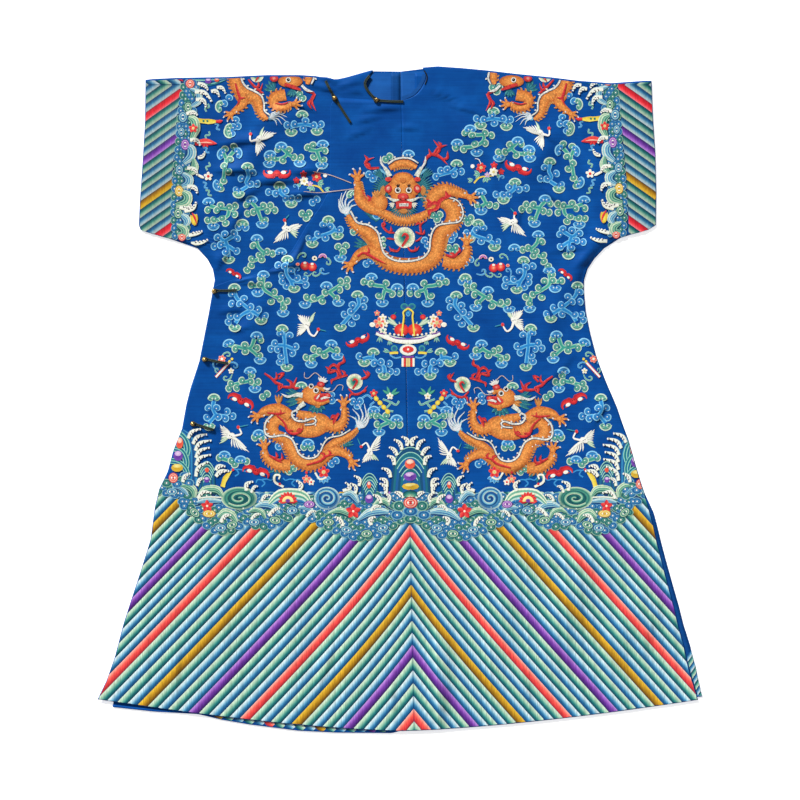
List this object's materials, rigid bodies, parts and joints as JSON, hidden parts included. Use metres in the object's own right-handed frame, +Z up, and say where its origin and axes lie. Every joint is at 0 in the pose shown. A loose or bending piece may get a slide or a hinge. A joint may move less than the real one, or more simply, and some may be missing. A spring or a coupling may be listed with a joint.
{
  "type": "chinese dragon robe",
  "caption": "Short-sleeved ankle-length silk robe laid flat, front flap closed to the wearer's right with cord loops and ball buttons, striped hem.",
  "frame": {"origin": "centre of the robe's outline, on the surface that its back lies on", "axes": "+Y from the hem to the collar, +X to the wearer's left, +Z up from the surface, out of the front"},
  "size_m": [1.2681, 1.3994, 0.0177],
  "materials": {
    "satin": "satin",
    "lining": "plain silk",
    "facing": "plain silk",
    "cord": "corded silk",
    "gilt": "gilt"
  },
  "bodies": {
    "root": {"body_right": "satin", "body_left": "satin", "outer_flap": "satin", "lining_right": "lining", "lining_left": "lining", "neck_facing": "facing", "button_neck": "gilt", "loop_neck": "cord", "button_collarbone": "gilt", "loop_collarbone": "cord", "button_underarm": "gilt", "loop_underarm": "cord", "button_side": "gilt", "loop_side": "cord", "button_hip": "gilt", "loop_hip": "cord", "strap_neck": "cord", "strap_collarbone": "cord"}
  },
  "joints": []
}
